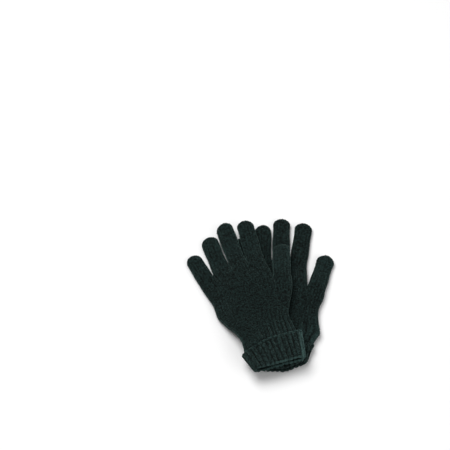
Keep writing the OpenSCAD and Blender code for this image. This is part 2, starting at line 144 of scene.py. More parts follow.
def slack(u, v, seed):
    """Slow unevenness of cloth that lies loose, from about -1 to 1."""
    return (np.sin(0.13 * u + 0.05 * v + seed) + np.sin(0.07 * u - 0.11 * v + 2.3 * seed)
            + 0.6 * np.sin(0.19 * u + 0.17 * v + 4.1 * seed)) / 2.2


def lift(u, v):
    """Height of the upper glove: it lies on the other one and falls to the table on its left."""
    edge = DROP_LINE + DROP_SLOPE * np.maximum(0, v - PALM_START)
    high = mix(LIFT_HIGH, LIFT_LOW, smooth((v - LOW_FROM) / (LOW_TO - LOW_FROM)))
    return high * smooth(1 + (u - edge) / DROP_W)


def lay(side, u, v, z):
    """Places of a glove's own frame, laid in the pair, in metres."""
    up_cuff = (v - CUFF_FOLD) / (CUFF_TOP - CUFF_FOLD)
    if side == "left":
        x = u
        y = v + FOLD_SKEW * smooth(2 * u / CUFF_W) * np.maximum(0, 1 - up_cuff) - REST_V
    else:
        dipped = np.minimum(up_cuff, 1 - smooth((v - CUFF_TOP) / DIP_FALL))
        v = v - EDGE_DIP * smooth(-2 * u / CUFF_W) * dipped
        x = UPPER_X + u * cos(UPPER_TURN) - v * sin(UPPER_TURN)
        y = UPPER_Y - REST_V + u * sin(UPPER_TURN) + v * cos(UPPER_TURN)
        z = z + lift(u, v)
    return np.stack(np.broadcast_arrays(x, y, z), axis=-1) * MM


def stitch(wale, course):
    """Height of stocking stitch in soft yarn, from 0 to 1: round wales, each a column of Vs."""
    off = np.abs(2 * np.mod(wale, 1) - 1)
    round_wale = np.sqrt(np.maximum(0, 1 - off ** 2))
    legs = 0.5 + 0.5 * np.cos(TAU * (course + V_SLANT * off))
    crease = CREASE * np.exp(-(off / CREASE_W) ** 2)
    return np.clip(round_wale * (1 - LEG_DEEP + LEG_DEEP * legs) - crease, 0, 1)


def even_places(ratio, square, count):
    """Places from 0 to 1 across a rounded flat section that are evenly spaced along its skin."""
    x = -np.cos(np.linspace(0, pi, 4001))
    z = bow(x, square) * ratio
    walk = np.concatenate([[0], np.cumsum(np.hypot(np.diff(x), np.diff(z)))])
    return (np.interp(np.linspace(0, walk[-1], count + 1), walk, x) + 1) / 2


EVEN = np.linspace(0, 1, LOBE_COLS + 1)
DRAWN = even_places(FINGER_T / FINGER_W[2], FINGER_SQUARE, LOBE_COLS)
SNAP = 1e-9


def wales_across(c, lobes, left, middle, right):
    """Places of the wales across some lobes: even, or drawn to the lobes' edges by the three shares."""
    half = np.minimum(np.floor(c * lobes * 2 + SNAP), lobes * 2 - 1)
    k = np.minimum(np.floor(c * lobes + SNAP), lobes - 1)
    drawn = (k + np.interp(c * lobes - k, EVEN, DRAWN)) / lobes
    share = np.where(half == 0, left, np.where(half == lobes * 2 - 1, right, middle))
    return mix(c, drawn, share)


# Places of the palm

def knuckle(u):
    """Height of the curved knuckle line."""
    return KNUCKLE_V - (u - KNUCKLE_U) ** 2 / (2 * KNUCKLE_R)


def finger_left(k):
    """Left edge of a finger at the knuckles."""
    return KNUCKLE_END + sum(FINGER_W[:k]) + k * FINGER_GAP


SEAM_U = np.array([finger_left(0)] + [finger_left(k) - FINGER_GAP / 2 for k in (1, 2, 3)]
                  + [finger_left(4) - FINGER_GAP])
SEAM_V = knuckle(SEAM_U)
SEAMS = np.stack([SEAM_U, SEAM_V], -1)
THUMB_LEAN = FINGER_LEAN[THUMB]
THUMB_ACROSS = np.array([cos(THUMB_LEAN), -sin(THUMB_LEAN)])
FORK = THUMB_ROOT - THUMB_ACROSS * (FINGER_W[THUMB] + FINGER_GAP) / 2
THUMB_EDGE = THUMB_ROOT + THUMB_ACROSS * (FINGER_W[THUMB] + FINGER_GAP) / 2
HEEL_TOP = THUMB_ROOT[1] - HEEL_LOWER
# Share of the wrist's width that grows into the hand, the rest growing into the thumb
FORK_SHARE = 16 / 21


def swell(v, rise, fall):
    """Share by which the palm blouses out above the gathered wrist."""
    return smooth((v - PALM_START) / rise) * (1 - smooth((v - PALM_START - rise) / fall))


def heel_side(side, r):
    """Edge of the palm on the little finger's side."""
    v = mix(PALM_START, HEEL_TOP, r)
    reach = mix(WRIST_W / 2, HEEL_REACH, smooth((v - PALM_START) / HEEL_RISE))
    u = reach + BLOUSE * swell(v, BLOUSE_RISE, HEEL_FALL)
    if side == "right":
        kept = 1 - TUCK_EASE * smooth((v - TUCK_FROM) / TUCK_FALL)
        u = u - HEEL_TUCK * smooth((v - PALM_START) / TUCK_RISE) * kept
    return np.stack([-u, v], -1)


def thumb_side(side, r):
    """Edge of the palm on the thumb's side, up to the thumb's root."""
    v = mix(PALM_START, THUMB_EDGE[1], r)
    grown = smooth((v - GUSSET_START) / (THUMB_EDGE[1] - GUSSET_START))
    u = mix(WRIST_W / 2, THUMB_EDGE[0], grown)
    if side == "left":
        u = u + HEEL_PUFF * swell(v, PUFF_RISE, PUFF_FALL)
    else:
        u = u + WAIST_BLOUSE * swell(v, BLOUSE_RISE, WAIST_FALL)
    return np.stack([u, v], -1)


def fork_wale(r):
    """The wale that runs up from the wrist to the fork of the thumb."""
    wrist_u = mix(-WRIST_W / 2, WRIST_W / 2, FORK_SHARE)
    return np.stack([mix(wrist_u, FORK[0], smooth(r)), mix(PALM_START, FORK[1], r)], -1)


def knuckle_place(p):
    """Places along the four fingers' seams."""
    return np.stack([np.interp(p * 4, range(5), SEAM_U), np.interp(p * 4, range(5), SEAM_V)], -1)


def four_lobes(p):
    """Share of the full thickness across four round lobes."""
    k = np.minimum(np.floor(p * 4), 3)
    return bow(2 * (p * 4 - k) - 1, FINGER_SQUARE)


def thumb_near(share):
    """Nearness to the thumb's root across the palm, from 0 to 1."""
    return smooth((share - 0.5) / (FORK_SHARE - 0.5))


def edge_on(full):
    """Share of painted sheen along the rounded edges, where the pile is seen from its side."""
    return smooth((0.9 - full) / 0.6)


def face_z(face, t, full):
    """Height of the upper face, or of the lower one, which lies flatter."""
    return t / 2 * (1 + full) if face > 0 else t / 2 * (1 - np.minimum(1, FLAT_SHARE * full))


def near_wrist(wale, v):
    """Share by which the wrist draws the wales together, further up on the thumb side."""
    return 1 - smooth((v - PALM_START) / mix(GATHER_HEEL, GATHER_THUMB, wale / ALL_WALES))


def gathers(side, wale, v):
    """Small upright folds where the wrist draws the palm in, deeper towards the thumb."""
    seed = GATHER_SEED[side]
    depth = near_wrist(wale, v) * mix(0.5, 1.4, smooth((wale / ALL_WALES - 0.2) / 0.4))
    narrow = np.sin(TAU * wale / NARROW_FOLD + 0.5 * np.sin(0.21 * v + seed))
    wide = np.sin(TAU * wale / WIDE_FOLD + 0.1 * v + seed)
    return depth * (NARROW_DEEP * narrow + WIDE_DEEP * wide)


# Share of the rows where the lining turns in at the wrist, and how far up the palm it reaches
LINING_TURN, LINING_REACH = 0.1, 0.94


def palm_low(side, face, part, lining=False):
    """The palm below the fork: the hand's own wales, or the gusset that grows into the thumb."""
    hand = part == "hand"

    def form(c, r):
        rim = r == 0
        if lining:
            r = np.maximum(0, r - LINING_TURN) / (1 - LINING_TURN) * LINING_REACH
        p = wales_across(c, 4, 1, 0, smooth(r)) if hand else wales_across(c, 1, smooth(r), 0, 1)
        heel, fork, thumb = heel_side(side, r), fork_wale(r), thumb_side(side, r)
        share = p * FORK_SHARE if hand else FORK_SHARE + p * (1 - FORK_SHARE)
        parting = 0.3 * smooth((r - 0.5) / 0.5) + 0.7 * smooth((r - 0.86) / 0.14)
        full = mix(bow(2 * share - 1, PALM_SQUARE),
                   bow(2 * p - 1, PALM_SQUARE if hand else FINGER_SQUARE), parting)
        if lining:
            inset = np.where(rim, 0, 1.6 * WALL / np.linalg.norm(thumb - heel, axis=-1))
            p = mix(inset, 1, p) if hand else p * (1 - 4 * inset)
        place = mix(heel, fork, column(p)) if hand else mix(fork, thumb, column(p))
        u, v = place[:, 0], place[:, 1]
        rise = smooth((mix(PALM_START, HEEL_TOP, r) - PALM_START) / PALM_RISE)
        t = mix(RIB_T, PALM_T, rise)
        z = face_z(face, t, full)
        if lining:
            inner = np.maximum(0.1, 1 - 2 * WALL / t) * (1 - smooth((r - 0.6) / 0.34))
            z = t / 2 + (z - t / 2) * np.where(rim, 1, inner)
        z = z + WRIST_RAISE * (1 - rise)
        wale = c * WALES * 4 if hand else c * WALES + 4 * WALES
        course = r * LOW_COURSES
        if lining:
            return u, v, z, wale, course, 0 * u, 0 * u, 0 * u
        hang = np.sin(pi * np.clip(r / HEM_SHARE, 0, 1)) ** 2 * (1 - 0.4 * smooth((r - 0.06) / 0.09))
        calm = 1 - smooth((r - 0.7) / 0.3) * thumb_near(share)
        gathered = gathers(side, wale, v)
        loose = PALM_SLACK * calm * slack(u, v, PALM_SEED[side] + face) * rise
        fold = full * (gathered + loose + HEM_SWELL * hang)
        # Painted light on the wales drawn in at the wrist and on the gathers' ridges, painted shade in
        # their folds, and painted sheen along the edges
        deep = near_wrist(wale, v) * (0.3 * np.cos(TAU * wale) - 0.3) - 0.9 * gathered
        deep = deep + PALM_SHADE - PAINTED_EDGE_SHEEN * edge_on(full)
        if side == "left":
            deep = deep - HEEL_LIGHT * smooth((share - 0.75) / 0.2) * swell(v, PUFF_RISE, PUFF_FALL)
        return u, v - HEM_HANG * hang, z, wale, course, fold, deep, np.ones_like(u)
    return form


def palm_high(side, face):
    """The palm from the fork to the knuckles, where it parts into four lobes."""
    def form(c, r):
        p = wales_across(c, 4, 1, smooth(r), 1)
        top = np.ones_like(r)
        base = mix(heel_side(side, top), fork_wale(top), column(p))
        place = mix(base, knuckle_place(p), column(r))
        u, v = place[:, 0], place[:, 1]
        flat = bow(2 * p - 1, PALM_SQUARE)
        full = mix(flat, four_lobes(p), 0.25 * smooth(r) + 0.75 * smooth((r - 0.74) / 0.26))
        z = face_z(face, mix(PALM_T, FINGER_T, smooth(r)), full)
        calm = (1 - thumb_near(p * FORK_SHARE) * (1 - smooth(r / 0.4))) * (1 - smooth((r - 0.6) / 0.4))
        fold = full * PALM_SLACK * calm * slack(u, v, PALM_SEED[side] + face)
        # Painted sheen along the palm's rounded edges
        deep = PALM_SHADE - PAINTED_EDGE_SHEEN * edge_on(flat)
        return u, v, z, c * 4 * WALES, LOW_COURSES + r * HIGH_COURSES, fold, deep, np.ones_like(u)
    return form


def end_cap(above, below, at):
    """The strip that closes a tube between the end rows of its upper and its lower face."""
    def form(c, r):
        rows = [face(c, np.full_like(c, at)) for face in (above, below)]
        return tuple(mix(a, b, r) for a, b in zip(*rows))[:-1] + (0 * r,)
    return form


# Places of the fingers

def finger_frame(k):
    """Root, direction across and along, half width, seam ends and the seam's slant of a finger."""
    lean = FINGER_LEAN[k]
    across = np.array([cos(lean), -sin(lean)])
    along = np.array([sin(lean), cos(lean)])
    if k == THUMB:
        seam = FORK, THUMB_EDGE
        ends = [THUMB_ROOT + THUMB_ACROSS * way * FINGER_W[THUMB] / 2 for way in (-1, 1)]
    else:
        seam = SEAMS[k], SEAMS[k + 1]
        ends = [mix(seam[0], seam[1], (u - seam[0][0]) / (seam[1][0] - seam[0][0]))
                for u in (finger_left(k), finger_left(k) + FINGER_W[k])]
    root = (ends[0] + ends[1]) / 2
    return root, across, along, (ends[1] - ends[0]) @ across / 2, seam, (ends[1] - ends[0]) @ along / 2


def finger_seed(side, k):
    """Where a finger's slow waves start."""
    return 1.3 * k + FINGER_SEED[side]


def tip_sway(side, k):
    """How far a fingertip strays to its side."""
    return FINGER_SWAY * np.sin(finger_seed(side, k) * 2)


def finger_sheet(side, k, face):
    """One face of a finger, from the seam at the knuckles to its drawn-in tip, and its rows of mesh."""
    root, across, along, half, seam, slant = finger_frame(k)
    length, seed = FINGER_LEN[k], finger_seed(side, k)
    round_l = TIP_ROUND * half
    straight = length - round_l
    tip_from = straight / (straight + 1.25 * round_l)
    if k == THUMB:
        root_t, light = PALM_T, THUMB_LIGHT
    else:
        # The under glove's fingers keep the palm's darker tone: painted shade beneath the upper glove
        root_t, light = FINGER_T, FINGER_LIGHT if side == "right" else -PALM_SHADE

    def form(c, r):
        x = 2 * np.interp(c, EVEN, DRAWN) - 1
        a = np.clip((r - tip_from) / (1 - tip_from), 0, 1) * TIP_ANGLE
        s = straight * np.minimum(1, r / tip_from) + round_l * np.sin(a)
        narrow, thin = np.cos(a), np.cos(a) ** 0.6
        width = half * narrow * (1 + 0.03 * np.sin(0.16 * s + seed))
        run = mix(slant * x * narrow, length, s / length)
        sway = tip_sway(side, k) * smooth(s / length)
        tube = root + across * column(width * x + sway) + along * column(run)
        from_seam = mix(seam[0], seam[1], column((x + 1) / 2)) + along * column(s)
        place = mix(from_seam, tube, column(smooth(s / ROOT_RUN)))
        u, v = place[:, 0], place[:, 1]
        full = bow(x, FINGER_SQUARE)
        t = mix(root_t, FINGER_T, smooth(s / THUMB_TAPER))
        z = t / 2 + face_z(face, t * thin, full) - t * thin / 2
        loose = FINGER_SLACK * slack(u, v, seed) * smooth(s / ROOT_RUN)
        drawn_in = 0.35 * np.sin(TAU * c * TIP_FOLDS) * smooth((r - 0.86) / 0.1)
        fold = full * (loose + drawn_in)
        # Past its root the finger takes its own tone, with painted sheen along its edges and round its tip
        deep = mix(PALM_SHADE, -light, smooth(s / TONE_RUN)) - PAINTED_EDGE_SHEEN * edge_on(full * thin)
        return u, v, z, c * WALES, s / COURSE, fold, deep, np.ones_like(u)
    return form, int(length / COURSE) * COURSE_ROWS


# Making the pieces

def raise_pile(bm, nap, pile, rng):
    """Cut pile: faces of the knit drawn up into short tufts that lean every way."""
    skin = [(face, sum(p[nap] for p in face.verts) / len(face.verts)) for face in bm.faces]
    picks = rng.random(len(skin))
    lower = 0
    for share, length in PILE:
        upper = lower + share
        tufts = [face for (face, shown), pick in zip(skin, picks)
                 if lower <= pick < upper and shown > 0.9]
        tips = bmesh.ops.poke(bm, faces=tufts, offset=length * MM, center_mode="MEAN")["verts"]
        for tip, lean in zip(tips, rng.normal(0, TUFT_LEAN * MM, (len(tips), 3))):
            tip.co += Vector(lean)
            tip[pile] = TUFT_TONE
        lower = upper


def knit(side, sheets, seed):
    """Knitted cloth: grids of stitches wrapped to their forms, welded, raised and given a pile."""
    bm = bmesh.new()
    rng = np.random.default_rng(seed)
    pile = bm.verts.layers.float.new("pile")
    raised = bm.verts.layers.float.new("raised")
    nap = bm.verts.layers.float.new("nap")
    capped = bm.faces.layers.int.new("capped")
    for columns, rows, form in sheets:
        made = bmesh.ops.create_grid(bm, x_segments=columns, y_segments=rows, size=0.5)["verts"]
        c = np.round((np.array([p.co.x for p in made]) + 0.5) * columns) / columns
        r = np.round((np.array([p.co.y for p in made]) + 0.5) * rows) / rows
        u, v, z, wale, course, fold, deep, shown = form(c, r)
        tuft = stitch(wale, course) + FUZZ * (rng.uniform(-1, 1, len(made)) * shown)
        height = ((tuft - 0.5) * STITCH_RELIEF * shown + fold) * MM
        for i, (p, place) in enumerate(zip(made, lay(side, u, v, z))):
            p.co = place
            # The pile attribute: the stitch's height, with the pieces' painted shade and light
            p[pile] = tuft[i] - DEEP_SHADE * deep[i]
            p[raised] = height[i]
            p[nap] = shown[i]
        if not shown.any():
            for face in {f for p in made for f in p.link_faces}:
                face[capped] = 1
    bmesh.ops.remove_doubles(bm, verts=bm.verts, dist=WELD)
    bmesh.ops.dissolve_degenerate(bm, edges=bm.edges, dist=WELD)
    bmesh.ops.recalc_face_normals(bm, faces=bm.faces)
    bm.normal_update()
    # A stitch beside a cap or the lining rises from the skin alone
    shifts = []
    for p in bm.verts:
        skin = [f for f in p.link_faces if not f[capped]]
        way = p.normal
        if len(skin) < len(p.link_faces):
            way = sum((f.normal * f.calc_area() for f in skin), Vector())
        shifts.append((p, way.normalized() * p[raised]))
    for p, shift in shifts:
        p.co += shift
    for edge in bm.edges:
        edge.smooth = len({f[capped] for f in edge.link_faces}) == 1
    bm.normal_update()
    raise_pile(bm, nap, pile, rng)
    top = PRESSED * MM if side == "left" else inf
    for p in bm.verts:
        p.co.z = min(max(p.co.z, 0), top)
    return bm


def piece(name, bm, finish, node):
    """A finished piece: its mesh, its finish, and the CAD node that it stands for."""
    mesh = bpy.data.meshes.new(name)
    bm.to_mesh(mesh)
    bm.free()
    mesh.shade_smooth()
    mesh.materials.append(finish)
    made = bpy.data.objects.new(name, mesh)
    bpy.context.collection.objects.link(made)
    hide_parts(node)
    return made


# Wrist and cuff

def stadium(walk, w, t):
    """Flat ring of a given width and thickness, walked by its own length: x, z and the way out."""
    r, run = t / 2, w - t
    arc = pi * r
    s = np.mod(walk, 1) * 2 * (run + arc)
    above = s < run
    right = (s >= run) & (s < run + arc)
    below = (s >= run + arc) & (s < 2 * run + arc)
    angle = np.where(right, pi / 2 - (s - run) / r, 1.5 * pi - (s - 2 * run - arc) / r)
    x = np.select([above, right, below],
                  [s - run / 2, run / 2 + r * np.cos(angle), 1.5 * run + arc - s],
                  r * np.cos(angle) - run / 2)
    z = np.select([above, below], [r, -r], r * np.sin(angle))
    out_x = np.where(above | below, 0, np.cos(angle))
    out_z = np.select([above, below], [1, -1], np.sin(angle))
    return x, z, out_x, out_z


def softened(path, times):
    """A closed path with its corners cut off, walked evenly, and its length."""
    path = np.array(path, float)
    for _ in range(times):
        ahead = np.roll(path, -1, axis=0)
        path = np.stack([mix(path, ahead, 0.25), mix(path, ahead, 0.75)], 1).reshape(-1, 2)
    path = np.vstack([path, path[:1]])
    walk = np.concatenate([[0], np.cumsum(np.linalg.norm(np.diff(path, axis=0), axis=1))])

    def place(p):
        return np.interp(p * walk[-1], walk, path[:, 0]), np.interp(p * walk[-1], walk, path[:, 1])
    return place, walk[-1]


def cuff_ring(a, v):
    """Ring of the cuff's outer face at height v."""
    return stadium(a, mix(FOLD_W, CUFF_W, (v - CUFF_FOLD) / (CUFF_TOP - CUFF_FOLD)), CUFF_T)


def rib_valley(a, sway=0):
    """How deep between the ribs a place lies, from 0 to 1."""
    return 0.5 - 0.5 * np.cos(TAU * (RIBS * a + sway))


def edge_wave(side, a):
    """Slow waves of the cuff's edge."""
    seed = CUFF_SEED[side]
    return 0.5 * np.sin(TAU * 3 * a + seed) + 0.35 * np.sin(TAU * 7 * a + 3 * seed)


# The cuff's section as (depth inside its outer face, height): up the face, over the top, down the back,
# in under the wrist ribbing and round the fold
CUFF_PATH = [(0, -40.5), (0, -30), (0, -18), (-0.1, -11), (-0.6, -7.3),
             (0.5, -7.1), (2.4, -7.3), (2.75, -9), (2.75, -25), (2.75, -41.2),
             (5.2, -41.5), (5.5, -42.6), (4.4, -44.4), (2.6, -45), (0.8, -44.3)]
CUFF_COLS, CUFF_ROW, EDGE_ROWS = 12 * RIBS, 0.7, 14
# Heights where the cuff starts to flare, where its fold starts to wave, to show ribs and to take painted
# sheen, and above which its back is hidden
FLARE_FROM, WAVE_FROM, RIBS_FROM, PAINTED_SHEEN_FROM, BACK_FROM = -30, -38, -42, -42.6, -43.2


def cuff_sheet(side):
    """The ribbed cuff, folded up, with painted shade between its ribs and, on the upper glove, painted
    sheen along its fold and its ends.
    """
    walk, length = softened(CUFF_PATH, 2)
    seed = CUFF_SEED[side]

    def form(a, p):
        inset, v = walk(p)
        sway = 0.15 * np.sin(TAU * 5 * a + seed) + 0.09 * np.sin(TAU * 11 * a + 0.12 * v + seed)
        uneven = 0.85 + 0.2 * np.sin(TAU * 9 * a + 2 * seed) + 0.1 * np.sin(0.3 * v + 40 * a)
        valley = rib_valley(a, sway) * uneven
        wave = edge_wave(side, a)
        shown = 1 - smooth((inset - 1.2) / 1.6) * smooth((v - BACK_FROM) / 1.2)
        x, z, out_x, out_z = cuff_ring(a, v)
        flare = wave * smooth((v - FLARE_FROM) / 24) * 0.8 * shown * smooth(1 + 2 * out_z)
        cut = inset + RIB_DEEP * valley * shown * (1 - 0.5 * smooth((inset - 2) / 2)) - flare
        height = v + 0.35 * valley * smooth((RIBS_FROM - v) / 2) + 0.5 * wave * smooth((WAVE_FROM - v) / 4)
        # On the upper glove, painted sheen along the fold and the upper part of the ends, stronger towards
        # the right end; painted shade in the rib valleys above the fold, and the cuff a little darker as a
        # whole
        fold = smooth((PAINTED_SHEEN_FROM - v) / 1.6)
        end = smooth((np.abs(out_x) - 0.1) / 0.5) * smooth((out_z + 0.3) / 0.6)
        nap_and_painted_sheen = PAINTED_EDGE_SHEEN * np.maximum(fold, end) * (1.9 + 3.0 * x / CUFF_W) if side == "right" else 0
        deep = (0.15 + 0.8 * valley * (1 - fold) - nap_and_painted_sheen) * shown
        return (x - cut * out_x, height, CUFF_T / 2 + z - cut * out_z,
                a * RIBS + 0.5, p * length / COURSE, 0 * a, deep, shown)
    return CUFF_COLS, int(length / CUFF_ROW), form


def edge_sheet(side):
    """The bound-off edge: a row of slanted chain stitches along the top of the cuff."""
    def form(a, p):
        turn = TAU * p
        chain = 1 + 0.1 * np.cos(TAU * (2 * RIBS * a + p))
        v = CUFF_TOP - 0.5 * EDGE_H + 1.15 * chain * np.sin(turn)
        inset = 0.75 + 0.5 * rib_valley(a) - 1.45 * chain * np.cos(turn) - 0.7 * edge_wave(side, a)
        x, z, out_x, out_z = cuff_ring(a, v)
        # Painted sheen along the upper glove's bound edge, stronger towards its right end
        nap_and_painted_sheen = PAINTED_EDGE_SHEEN * (0.6 + 1.2 * x / CUFF_W) if side == "right" else 0 * a
        return (x - inset * out_x, v, CUFF_T / 2 + z - inset * out_z,
                a * RIBS, p * 4, 0 * a, -nap_and_painted_sheen, np.ones_like(a))
    return CUFF_COLS, EDGE_ROWS, form


# The wrist ribbing's section as (depth inside its outer face, height): up the face and down the inside
RIB_PATH = [(0, RIB_END + 0.6), (0, -20), (0, 4), (0, PALM_START + 0.4), (WALL, PALM_START + 0.4),
            (WALL, -20), (WALL, RIB_END + 0.3), (1.2, RIB_END + 0.1)]
RIB_COLS, RIB_ROW, ELASTIC_ROWS = 8 * RIBS, 1.0, 8
ELASTIC_V = [CUFF_TOP + (PALM_START - CUFF_TOP) * (i + 1) / (ELASTICS + 1) for i in range(ELASTICS)]


def rib_sheet():
    """The wrist ribbing, pinched by the elastic threads."""
    walk, length = softened(RIB_PATH, 2)

    def form(a, p):
        inset, v = walk(p)
        valley = rib_valley(a)
        outer = 1 - smooth((inset - 0.4) / 0.8)
        pinch = sum(np.exp(-((v - line) / 1.3) ** 2) for line in ELASTIC_V)
        cut = inset + outer * (0.8 * valley + 0.35 * pinch)
        x, z, out_x, out_z = stadium(a, WRIST_W, RIB_T)
        # Painted shade in the valleys between the outer ribs
        return (x - cut * out_x, v, CUFF_T / 2 + z - cut * out_z, a * RIBS + 0.5, p * length / COURSE,
                -0.25 * STITCH_RELIEF * outer, valley * outer, 0.5 * outer)
    return RIB_COLS, int(length / RIB_ROW), form


def elastic_sheet(line):
    """One covered elastic thread round the wrist, drawn in between the ribs."""
    def form(a, p):
        turn = TAU * p
        far = 0.3 - 0.4 * rib_valley(a) + ELASTIC_T / 2 * np.cos(turn)
        x, z, out_x, out_z = stadium(a, WRIST_W, RIB_T)
        v = line + ELASTIC_T / 2 * np.sin(turn) + 0.2 * np.sin(TAU * 9 * a)
        return (x + far * out_x, v, CUFF_T / 2 + z + far * out_z,
                a * RIBS * 4, p * 2, 0 * a, 0 * a, 0.2 + 0 * a)
    return RIB_COLS, ELASTIC_ROWS, form


# Stitches in yarn: sizes across, along and up
TIP_LOOP, TIP_KNOT, CLOSING_STITCH = (0.95, 0.8, 0.7), (0.8, 0.8, 0.7), (1.5, 0.55, 0.5)
TIP_LOOPS = 6
# Closing stitches: how far back from the crotch, and at which share of the thickness
CLOSING_PLACES = ((1.0, 0.56), (2.4, 0.68), (3.9, 0.78))


def yarn_bumps(side, bumps):
    """Short stitches of yarn: long beads at (u, v, z), turned and sized across, along and up."""
    bm = bmesh.new()
    turn = UPPER_TURN if side == "right" else 0
    for (u, v, z), angle, sizes in bumps:
        place = Vector(lay(side, np.array(u), np.array(v), np.array(z)))
        matrix = (Matrix.Translation(place) @ Matrix.Rotation(turn + angle, 4, "Z")
                  @ Matrix.Diagonal((*sizes, 1)))
        bmesh.ops.create_icosphere(bm, subdivisions=2, radius=MM, matrix=matrix)
    return bm


def tip_stitches(side, k):
    """Loops of yarn and a knot, drawn together where the fingertip closes."""
    root, across, along, _, _, _ = finger_frame(k)
    tip = root + along * (FINGER_LEN[k] - 0.1) + across * tip_sway(side, k)
    bumps = []
    for i in range(TIP_LOOPS):
        turn = TAU * (i + 0.3 * k) / TIP_LOOPS
        place = tip + across * 1.5 * cos(turn)
        bumps.append(((*place, FINGER_T / 2 + sin(turn)), -FINGER_LEAN[k], TIP_LOOP))
    knot = tip + along * 0.5
    bumps.append(((*knot, FINGER_T / 2), 0.4 - FINGER_LEAN[k], TIP_KNOT))
    return yarn_bumps(side, bumps)


def crotch_stitches(side):
    """Closing stitches in the dips between the fingers and beside the thumb."""
    dips = [(SEAMS[k], np.array([0.0, 1.0]), FINGER_T) for k in (1, 2, 3)]
    dips.append((FORK, np.array([sin(THUMB_LEAN / 2), cos(THUMB_LEAN / 2)]), PALM_T))
    bumps = []
    for place, along, t in dips:
        for back, up in CLOSING_PLACES:
            u, v = place - along * back
            bumps.append(((u, v, t * up), 0.35 - atan(along[0] / along[1]), CLOSING_STITCH))
    return yarn_bumps(side, bumps)


# Finishes

def colour(hex_code):
    """Linear colour of an sRGB hex value."""
    parts = [int(hex_code[i:i + 2], 16) / 255 for i in (1, 3, 5)]
    return [p / 12.92 if p <= 0.04045 else ((p + 0.055) / 1.055) ** 2.4 for p in parts] + [1]


def add(tree, kind, inputs=(), **settings):
    """Adds a node with its settings, and sets or links its inputs."""
    made = tree.nodes.new(kind)
    for name, value in settings.items():
        setattr(made, name, value)
    for name, value in dict(inputs).items():
        if isinstance(value, bpy.types.NodeSocket):
            tree.links.new(value, made.inputs[name])
        else:
            made.inputs[name].default_value = value
    return made


def finish_of(name):
    """A new finish, its node tree and its surface shader."""
    made = bpy.data.materials.new(name)
    made.use_nodes = True
    return made, made.node_tree, made.node_tree.nodes["Principled BSDF"]


def per_mm(size):
    """Noise scale, per metre, for a grain of so many millimetres."""
    return 1 / (size * MM)


PILE_GLEAM = colour("#9DC0B8")
# The pile's own fibres are 0.02 mm, too fine to show, so its tufts are drawn at the first size; the second
# is the size of the stroked patches
FIBRE_SIZE, NAP_SIZE = 2.7, 5


def chenille(name, deep, tip, nap_and_painted_sheen, rough_pile):
    """Chenille knit: short cut pile, with painted shade down in the stitches and painted sheen where it
    turns to the light.
    """
    made, tree, surface = finish_of(name)
    place = add(tree, "ShaderNodeTexCoord").outputs["Object"]
    tuft = add(tree, "ShaderNodeAttribute", attribute_name="pile").outputs["Fac"]
    fibre = add(tree, "ShaderNodeTexNoise", {"Vector": place, "Scale": per_mm(FIBRE_SIZE), "Detail": 3,
                                             "Roughness": 0.7})
    nap = add(tree, "ShaderNodeTexNoise", {"Vector": place, "Scale": per_mm(NAP_SIZE), "Detail": 3,
                                           "Roughness": 0.6})
    grain = add(tree, "ShaderNodeMapRange", {"Value": fibre.outputs["Fac"], "From Min": 0.41,
                                             "From Max": 0.59})
    # Pile that stands higher, by its stitch and by its own grain, is lighter: painted shade down in the
    # stitches over a random grain, with the painted shade and light that the pile attribute carries
    wales = add(tree, "ShaderNodeMath", {0: tuft, 1: 1.3}, operation="MULTIPLY")
    height = add(tree, "ShaderNodeMath", {0: grain.outputs[0], 1: rough_pile, 2: wales.outputs[0]},
                 operation="MULTIPLY_ADD")
    rise = add(tree, "ShaderNodeMath", {0: height.outputs[0], 1: 0.75}, operation="MAXIMUM")
    shade = add(tree, "ShaderNodeMapRange",
                {"Value": rise.outputs[0], "From Min": 0.7, "From Max": 2.6}, clamp=False)
    body = add(tree, "ShaderNodeMix", {"Factor": shade.outputs[0], 6: colour(deep), 7: colour(tip)},
               data_type="RGBA", clamp_factor=False)
    # Patches where the nap is stroked the other way
    stroke = add(tree, "ShaderNodeMapRange", {"Value": nap.outputs["Fac"], "From Min": 0.42,
                                              "From Max": 0.72, "To Max": 0.55})
    brushed = add(tree, "ShaderNodeMix",
                  {"Factor": stroke.outputs[0], 6: body.outputs[2], 7: colour(nap_and_painted_sheen)}, data_type="RGBA")
    relief = add(tree, "ShaderNodeBump", {"Height": grain.outputs[0], "Strength": 0.8,
                                          "Distance": 0.6 * MM})
    tree.links.new(brushed.outputs[2], surface.inputs["Base Color"])
    tree.links.new(relief.outputs[0], surface.inputs["Normal"])
    surface.inputs["Roughness"].default_value = 0.95
    surface.inputs["Specular IOR Level"].default_value = 0.15
    surface.inputs["Sheen Weight"].default_value = 0.4
    surface.inputs["Sheen Roughness"].default_value = 0.2
    surface.inputs["Sheen Tint"].default_value = PILE_GLEAM
    return made


# Plies this fine don't show, so they are drawn about four times as coarse
PLY_COARSE = 6.3


